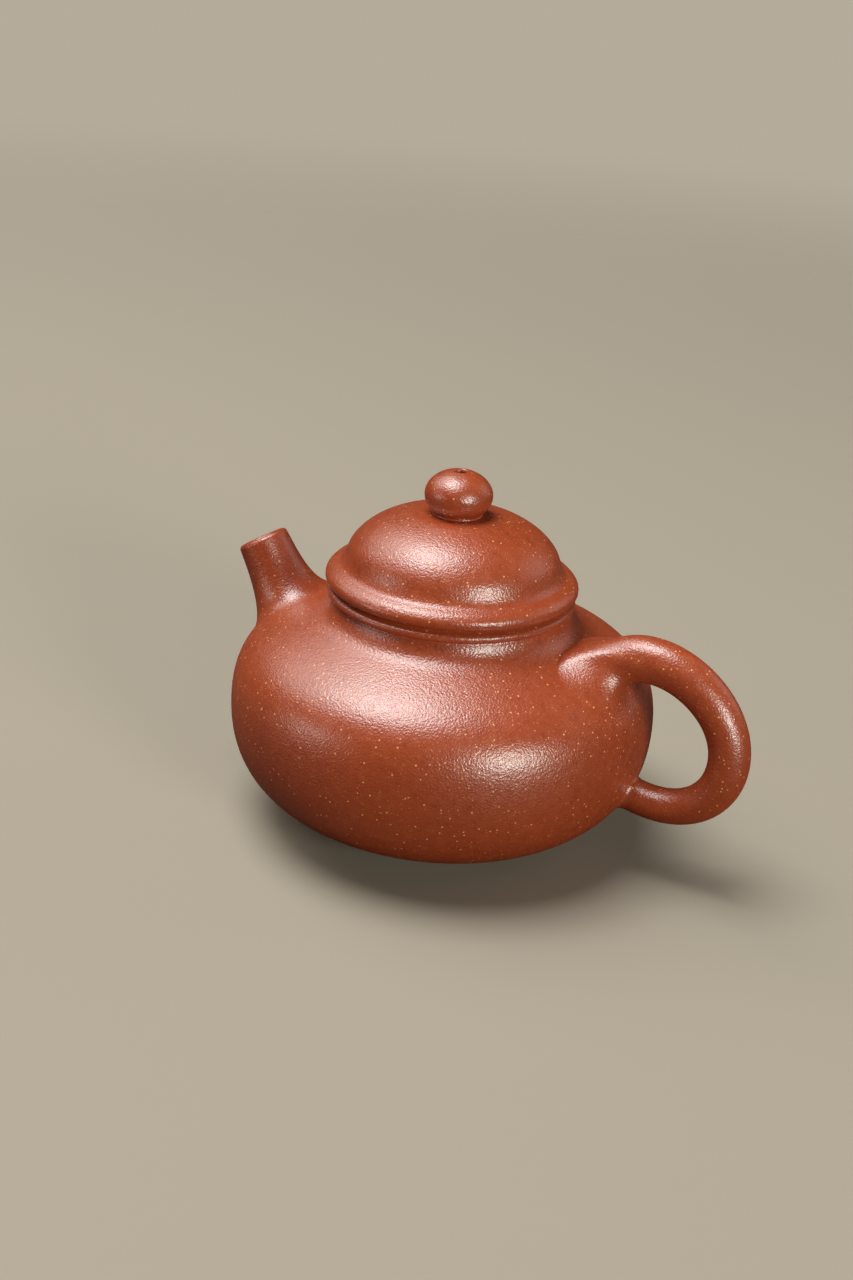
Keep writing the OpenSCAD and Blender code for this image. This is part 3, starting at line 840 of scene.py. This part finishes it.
def lid_outside():
    """The lid's outside from the rim's lower edge to the knob: the rim's round bulge, tucked in
    below, a slope and a sweep up into the dome, and the dome's top, pressed flat under the knob."""
    lid = bpy.context.scene.teapot_lid
    seat = bpy.context.scene.teapot_body.seat_z
    dome_z = seat + lid.dome_foot
    dome = oval(lid.dome_r, lid.dome_h - lid.dome_foot, lid.dome_round, dome_z, lid.knob_foot_r)
    dome = dome[(dome[:, 1] > dome_z + lid.sweep_z) & (dome[:, 0] > lid.press_r)]
    bottom = np.array([lid.rim_r - lid.rim_tuck, seat])
    widest = np.array([lid.rim_r, seat + lid.rim_low])
    edge = np.array([lid.rim_r - 0.74 * MM, seat + 2.4 * MM])
    crest = np.array([lid.crest_r, seat + 3.2 * MM])
    top = np.array([lid.knob_foot_r, lid.knob_z])
    rim = [bend(bottom, (35, 0.4), widest, (UP, 0.45)),
           bend(widest, (UP, 0.75), edge, (135, 0.75)),
           bend(edge, (135, 0.5), crest, (153, 0.5)),
           bend(crest, (151, 1.5), dome[0], (heading(dome[0], dome[1]), 1.7))]
    press = bend(dome[-1], (heading(dome[-2], dome[-1]), 1.5), top, (INWARDS, 1.2))
    t = np.linspace(0, 1, 60)
    return even(np.concatenate([*(cubic(curve, t) for curve in rim), dome, cubic(press, t)]), LID_STEP)


class TEAPOT_OT_lid(bpy.types.Operator):
    """Turn the lid: its dome, rolled rim, flange and hollow"""

    bl_idname = "teapot.lid"
    bl_label = "Lid"

    def execute(self, context):
        lid = context.scene.teapot_lid
        seat = context.scene.teapot_body.seat_z
        hollow = oval(lid.hollow_r, lid.dome_h - lid.dome_wall, lid.dome_round, seat, lid.steam_r, 120)
        flange = np.array([[lid.flange_r, seat], [lid.flange_r, lid.flange_z],
                           [lid.hollow_r, lid.flange_z], [lid.hollow_r, seat]])
        flange = rounded(rounded(flange, 2, 0.6 * MM), 1, 0.6 * MM)
        profile = np.concatenate([lid_outside(), [[lid.steam_r, lid.knob_z]],
                                  even(hollow, INSIDE_STEP)[::-1], flange[::-1]])
        points, faces = turned(profile)
        add_piece("lid", points, faces, "lid", ("lid_dome", "lid_rim", "lid_flange"), "clay")
        return {"FINISHED"}


class TEAPOT_OT_knob(bpy.types.Operator):
    """Turn the knob with its foot, dimple and steam hole"""

    bl_idname = "teapot.knob"
    bl_label = "Knob"

    def execute(self, context):
        lid = context.scene.teapot_lid
        # The ball is cut off at the waist over its foot and at the brim of the dimple on its top
        waist_r = lid.knob_foot_r - 0.2 * MM
        brim_r = 1.35 * lid.steam_r
        middle = (lid.knob_z + lid.knob_foot_h
                  + lid.knob_half_h * math.sqrt(1 - (waist_r / lid.knob_r) ** 2))
        low_angle = -math.degrees(math.acos(waist_r / lid.knob_r))
        high_angle = math.degrees(math.acos(brim_r / lid.knob_r))
        ball = arc((0, middle), (lid.knob_r, lid.knob_half_h), low_angle, high_angle, 90)
        half = lid.knob_foot_h / 2
        foot = arc((lid.knob_foot_r - half, lid.knob_z + half), (half, half), DOWN, UP, 10)
        inner = np.array([lid.steam_r, ball[-1, 1] - 0.5 * MM])
        turn = np.array([1.08 * lid.steam_r, ball[-1, 1] + 0.04 * MM])
        dimple = parabola(ball[-1], turn, inner, 12)
        bore = even(np.array([inner, [lid.steam_r, lid.knob_z]]), BORE_STEP)
        profile = np.concatenate([foot, even(ball, KNOB_STEP), dimple[1:], bore[1:]])
        points, faces = turned(profile, KNOB_TURNS)
        add_piece("knob", points, faces, "lid", ("knob",), "clay")
        return {"FINISHED"}


class TEAPOT_OT_strainer(bpy.types.Operator):
    """Finish the pierced strainer behind the spout with bare clay"""

    bl_idname = "teapot.strainer"
    bl_label = "Strainer"

    def execute(self, context):
        dress(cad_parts["spout_strainer"], "clay_bare")
        return {"FINISHED"}


# ---- The stage --------------------------------------------------------------------------

def direction(azimuth, elevation):
    """The unit vector at an azimuth, from +X towards +Y, and an elevation, in degrees."""
    a, e = math.radians(azimuth), math.radians(elevation)
    return Vector((math.cos(a) * math.cos(e), math.sin(a) * math.cos(e), math.sin(e)))


# Where the camera stands, in mm; the azimuth of its right-hand side, its elevation and its roll,
# in degrees; and its lens and sensor, in mm
CAMERA_PLACE = (115.7, -257.0, 154.2)
CAMERA_AZIMUTH = 25.0
CAMERA_ELEVATION = 23.0
CAMERA_ROLL = 4.31
CAMERA_LENS = 47.25
CAMERA_SENSOR = 36.0

# Each lamp's name, azimuth, elevation and half its apparent width in degrees, power and tint
LAMPS = (
    ("overhead_softbox", -150, 75, 18.0, 21.5, (0.95, 0.98, 0.98)),
    ("front_lamp", -29, 13.0, 9.8, 14.0, (0.95, 0.97, 0.88)),
    ("left_lamp", -136, 9, 8.0, 2.3, (1.0, 0.95, 0.90)),
    ("left_fill", 175, 52, 24.0, 10.0, (1.0, 0.96, 0.90)),
    ("right_fill", 48, 25, 18.0, 1.7, (1.0, 0.96, 0.93)),
)
# How far the lamps stand from the point on the pot's axis at which they aim, and its height
LAMP_DISTANCE = 1.5
LAMP_AIM_Z = 35 * MM
FLOOR_RADIUS = 1.2
# The shares of the floor's radius between which it fades out
FLOOR_FADE = (0.2, 0.95)
FLOOR_COLOUR = (0.36, 0.315, 0.25)
FLOOR_BOUNCE_COLOUR = (0.07, 0.032, 0.022)
BACKDROP_COLOUR = (0.46, 0.41, 0.33)
ROOM_COLOUR = (0.032, 0.023, 0.018)


class TEAPOT_OT_stage(bpy.types.Operator):
    """Set the camera, the soft lamps and the pale floor the pot stands on"""

    bl_idname = "teapot.stage"
    bl_label = "Stage"

    def execute(self, context):
        scene = context.scene
        self.camera(scene)
        self.floor(scene)
        for lamp in LAMPS:
            self.lamp(scene, *lamp)
        self.world(scene)
        scene.view_settings.view_transform = "Standard"
        return {"FINISHED"}

    def camera(self, scene):
        """A camera that looks down on the pot, turned round its line of sight by its roll."""
        roll = math.radians(CAMERA_ROLL)
        right = direction(CAMERA_AZIMUTH, 0)
        back = direction(CAMERA_AZIMUTH - 90, CAMERA_ELEVATION)
        up = back.cross(right)
        rolled_right = math.cos(roll) * right + math.sin(roll) * up
        rolled_up = math.cos(roll) * up - math.sin(roll) * right
        data = bpy.data.cameras.new("camera")
        data.sensor_width = CAMERA_SENSOR
        data.lens = CAMERA_LENS
        data.clip_start = 0.01
        camera = bpy.data.objects.new("camera", data)
        turn = Matrix((rolled_right, rolled_up, back)).transposed().to_4x4()
        camera.matrix_world = Matrix.Translation(Vector(CAMERA_PLACE) * MM) @ turn
        scene.collection.objects.link(camera)
        scene.camera = camera

    def lamp(self, scene, name, azimuth, elevation, spread, power, tint):
        """A round soft lamp that stands in a direction from the pot and looks as wide as spread."""
        toward = direction(azimuth, elevation)
        data = bpy.data.lights.new(name, "AREA")
        data.shape = "DISK"
        data.size = 2 * LAMP_DISTANCE * math.tan(math.radians(spread))
        data.energy = power
        data.color = tint
        lamp = bpy.data.objects.new(name, data)
        lamp.location = Vector((0, 0, LAMP_AIM_Z)) + LAMP_DISTANCE * toward
        lamp.rotation_euler = toward.to_track_quat("Z", "Y").to_euler()
        scene.collection.objects.link(lamp)

    def floor(self, scene):
        """A level disc under the pot that fades out into the backdrop's colour."""
        turns = np.linspace(0, 2 * np.pi, 96, endpoint=False)
        rim = np.stack([FLOOR_RADIUS * np.cos(turns), FLOOR_RADIUS * np.sin(turns), 0 * turns], axis=1)
        mesh = bpy.data.meshes.new("floor")
        mesh.from_pydata(rim.tolist(), [], [list(range(len(rim)))])
        floor = bpy.data.objects.new("floor", mesh)
        scene.collection.objects.link(floor)
        tree = Tree("pale_floor")
        away = tree.node("ShaderNodeVectorMath", {"operation": "LENGTH"}, {0: tree.place()})[0]
        fade = away.ramp(FLOOR_FADE[0] * FLOOR_RADIUS, FLOOR_FADE[1] * FLOOR_RADIUS)
        camera_ray = tree.node("ShaderNodeLightPath")[0]
        shader = tree.node("ShaderNodeBsdfPrincipled", {}, {
            "Base Color": tree.mix(camera_ray, FLOOR_BOUNCE_COLOUR, FLOOR_COLOUR),
            "Roughness": 0.8, "Specular IOR Level": 0.2})[0]
        clear = tree.node("ShaderNodeBsdfTransparent")[0]
        faded = tree.node("ShaderNodeMixShader", {}, {"Fac": fade, 1: shader, 2: clear})[0]
        tree.node("ShaderNodeOutputMaterial", {}, {"Surface": faded})
        mesh.materials.append(tree.material)

    def world(self, scene):
        """A dim room whose backdrop the camera sees in its own pale colour."""
        world = bpy.data.worlds.new("studio")
        scene.world = world
        world.use_nodes = True
        nodes, links = world.node_tree.nodes, world.node_tree.links
        room = nodes["Background"]
        room.inputs["Color"].default_value = (*ROOM_COLOUR, 1.0)
        backdrop = nodes.new("ShaderNodeBackground")
        backdrop.inputs["Color"].default_value = (*BACKDROP_COLOUR, 1.0)
        seen = nodes.new("ShaderNodeLightPath")
        chosen = nodes.new("ShaderNodeMixShader")
        links.new(seen.outputs["Is Camera Ray"], chosen.inputs["Fac"])
        links.new(room.outputs["Background"], chosen.inputs[1])
        links.new(backdrop.outputs["Background"], chosen.inputs[2])
        links.new(chosen.outputs["Shader"], nodes["World Output"].inputs["Surface"])


# ---- Panel and registration -------------------------------------------------------------

OPERATORS = (TEAPOT_OT_pot_wall, TEAPOT_OT_foot, TEAPOT_OT_mouth_rim, TEAPOT_OT_spout, TEAPOT_OT_handle,
             TEAPOT_OT_lid, TEAPOT_OT_knob, TEAPOT_OT_strainer, TEAPOT_OT_stage)
GROUPS = {"teapot_body": TEAPOT_PG_body, "teapot_spout": TEAPOT_PG_spout,
          "teapot_handle": TEAPOT_PG_handle, "teapot_lid": TEAPOT_PG_lid,
          "teapot_clay": TEAPOT_PG_clay}


class TEAPOT_PT_panel(bpy.types.Panel):
    """Lists the teapot's sizes and the operators that make it"""

    bl_idname = "TEAPOT_PT_panel"
    bl_label = "Clay teapot"
    bl_space_type = "VIEW_3D"
    bl_region_type = "UI"
    bl_category = "Teapot"

    def draw(self, context):
        for name, group in GROUPS.items():
            box = self.layout.box()
            box.label(text=group.__doc__)
            for key in group.__annotations__:
                box.prop(getattr(context.scene, name), key)
        for operator in OPERATORS:
            self.layout.operator(operator.bl_idname)


def register():
    """Makes the groups, operators and panel known, and hangs the groups on the scene."""
    for cls in (*GROUPS.values(), *OPERATORS, TEAPOT_PT_panel):
        bpy.utils.register_class(cls)
    for name, group in GROUPS.items():
        setattr(bpy.types.Scene, name, PointerProperty(type=group))


def unregister():
    """Undoes register."""
    for name in GROUPS:
        delattr(bpy.types.Scene, name)
    for cls in (TEAPOT_PT_panel, *OPERATORS[::-1], *GROUPS.values()):
        bpy.utils.unregister_class(cls)


def main():
    """Makes every piece and the stage."""
    register()
    bpy.ops.teapot.pot_wall()
    bpy.ops.teapot.foot()
    bpy.ops.teapot.mouth_rim()
    bpy.ops.teapot.spout()
    bpy.ops.teapot.handle()
    bpy.ops.teapot.lid()
    bpy.ops.teapot.knob()
    bpy.ops.teapot.strainer()
    bpy.ops.teapot.stage()


if __name__ == "__main__":
    main()
